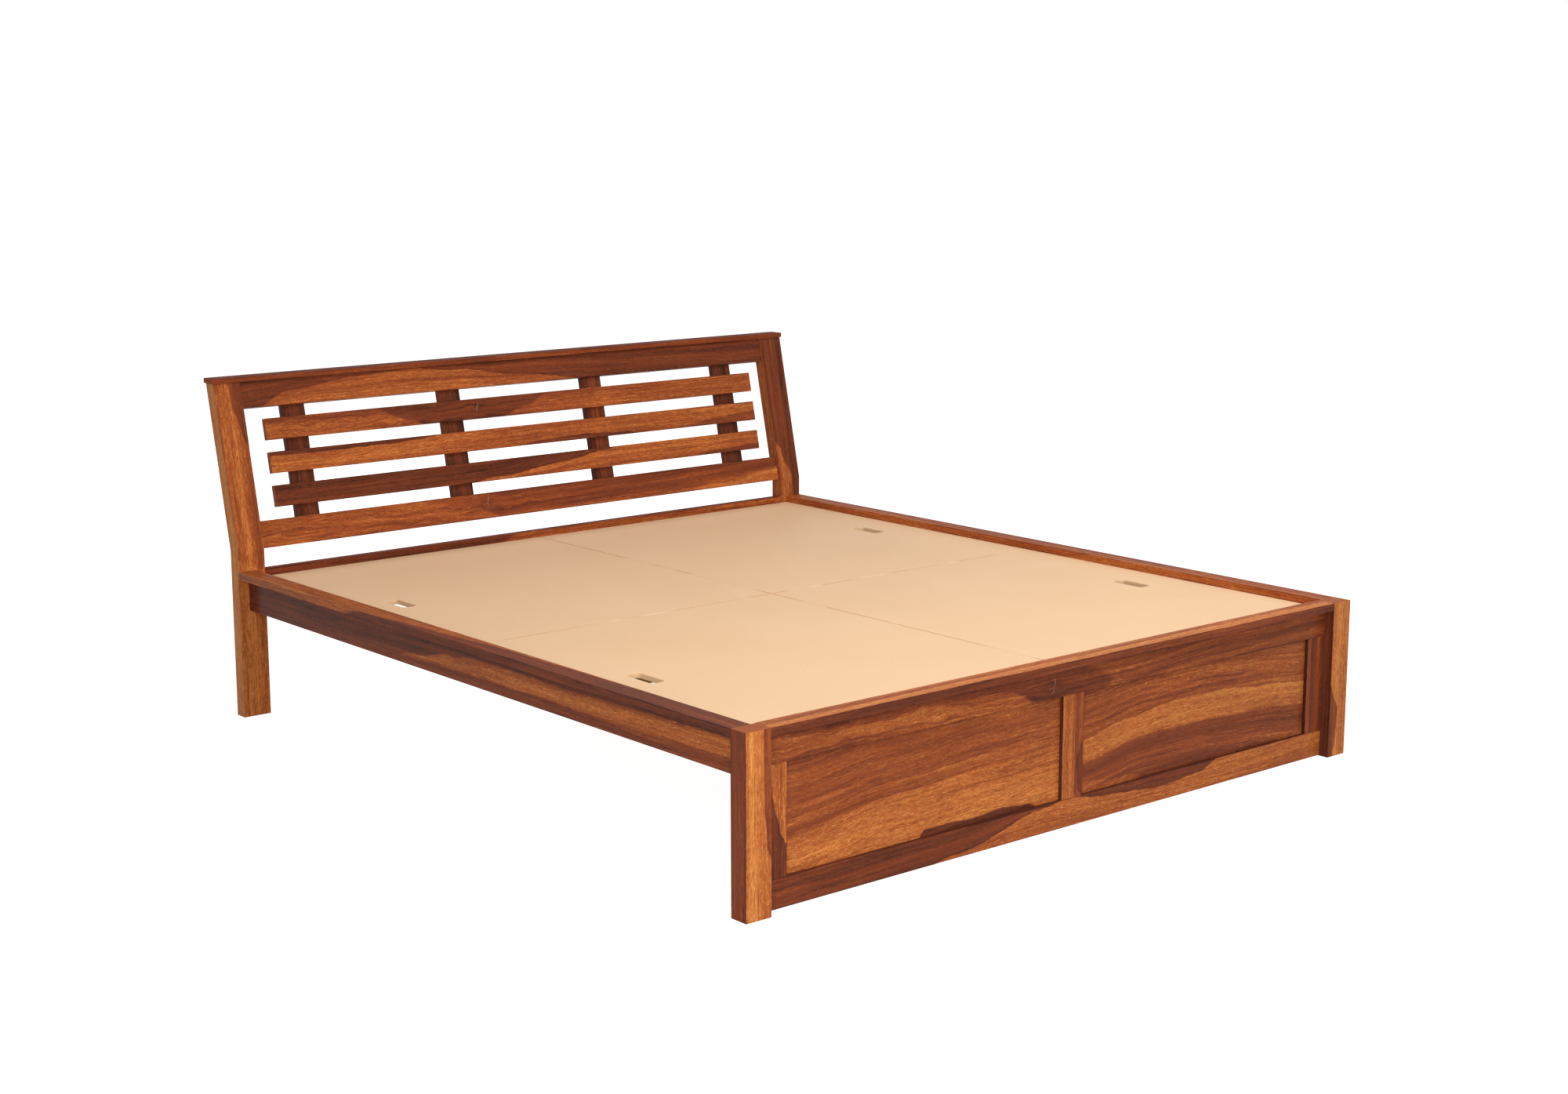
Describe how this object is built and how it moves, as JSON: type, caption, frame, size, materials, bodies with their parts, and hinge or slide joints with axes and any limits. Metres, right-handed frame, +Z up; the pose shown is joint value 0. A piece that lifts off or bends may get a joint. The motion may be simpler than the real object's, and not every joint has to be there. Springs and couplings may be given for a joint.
{
  "type": "bed frame",
  "caption": "Low platform bed in solid timber with a leaning slatted headboard, a panelled foot and a deck of loose boards set between flush caps.",
  "frame": {"origin": "on the floor under the middle of the bed's bounding box", "axes": "+X to the right seen from the foot, +Y from the foot to the head, +Z up"},
  "size_m": [1.938, 2.228, 0.889],
  "materials": {
    "rosewood_honey": "satin lacquer",
    "rosewood_dark": "satin lacquer",
    "deck_board": "matte board",
    "support_timber": "planed, unfinished",
    "dowel_beech": "smooth, unfinished",
    "zinc_steel": "zinc plated"
  },
  "bodies": {
    "root": {"foot_post_left": "rosewood_honey", "foot_post_right": "rosewood_honey", "head_post_left": "rosewood_honey", "head_post_right": "rosewood_honey", "headboard_cap": "rosewood_dark", "headboard_top_rail": "rosewood_honey", "headboard_lower_rail": "rosewood_honey", "headboard_batten_1": "rosewood_dark", "headboard_batten_2": "rosewood_dark", "headboard_batten_3": "rosewood_dark", "headboard_batten_4": "rosewood_dark", "headboard_slat_lower": "rosewood_honey", "headboard_slat_middle": "rosewood_honey", "headboard_slat_upper": "rosewood_honey", "head_cross_rail": "rosewood_dark", "foot_cap": "rosewood_honey", "foot_top_rail": "rosewood_honey", "foot_bottom_rail": "rosewood_dark", "foot_stile_left": "rosewood_honey", "foot_stile_right": "rosewood_honey", "foot_muntin": "rosewood_honey", "foot_panel_left": "rosewood_honey", "foot_panel_right": "rosewood_dark", "side_rail_left": "rosewood_dark", "side_rail_right": "rosewood_dark", "side_cap_left": "rosewood_honey", "side_cap_right": "rosewood_honey", "side_ledger_left": "support_timber", "side_ledger_right": "support_timber", "end_ledger_foot": "support_timber", "end_ledger_head": "support_timber", "cross_support_1": "support_timber", "cross_support_2": "support_timber", "cross_support_3": "support_timber", "cross_support_4": "support_timber", "cross_support_5": "support_timber", "centre_beam": "support_timber", "centre_leg_foot": "support_timber", "centre_leg_head": "support_timber", "beam_hanger_foot": "zinc_steel", "beam_hanger_head": "zinc_steel", "bracket_foot_left": "zinc_steel", "bracket_foot_right": "zinc_steel", "bracket_head_left": "zinc_steel", "bracket_head_right": "zinc_steel", "rail_dowels": "dowel_beech", "cap_dowels": "dowel_beech", "slat_screws": "zinc_steel", "ledger_screws": "zinc_steel", "support_screws": "zinc_steel", "bracket_screws": "zinc_steel", "hanger_screws": "zinc_steel", "leg_bolts": "zinc_steel", "leg_nuts": "zinc_steel", "leg_washers": "zinc_steel"},
    "deck_board_foot_left": {"deck_board_foot_left": "deck_board"},
    "deck_board_foot_right": {"deck_board_foot_right": "deck_board"},
    "deck_board_head_left": {"deck_board_head_left": "deck_board"},
    "deck_board_head_right": {"deck_board_head_right": "deck_board"}
  },
  "joints": [
    {"name": "lift_deck_board_foot_left", "type": "slide", "parent": "root", "child": "deck_board_foot_left", "axis": [0, 0, 1], "range_m": [0, 0.25]},
    {"name": "lift_deck_board_foot_right", "type": "slide", "parent": "root", "child": "deck_board_foot_right", "axis": [0, 0, 1], "range_m": [0, 0.25]},
    {"name": "lift_deck_board_head_left", "type": "slide", "parent": "root", "child": "deck_board_head_left", "axis": [0, 0, 1], "range_m": [0, 0.25]},
    {"name": "lift_deck_board_head_right", "type": "slide", "parent": "root", "child": "deck_board_head_right", "axis": [0, 0, 1], "range_m": [0, 0.25]}
  ]
}
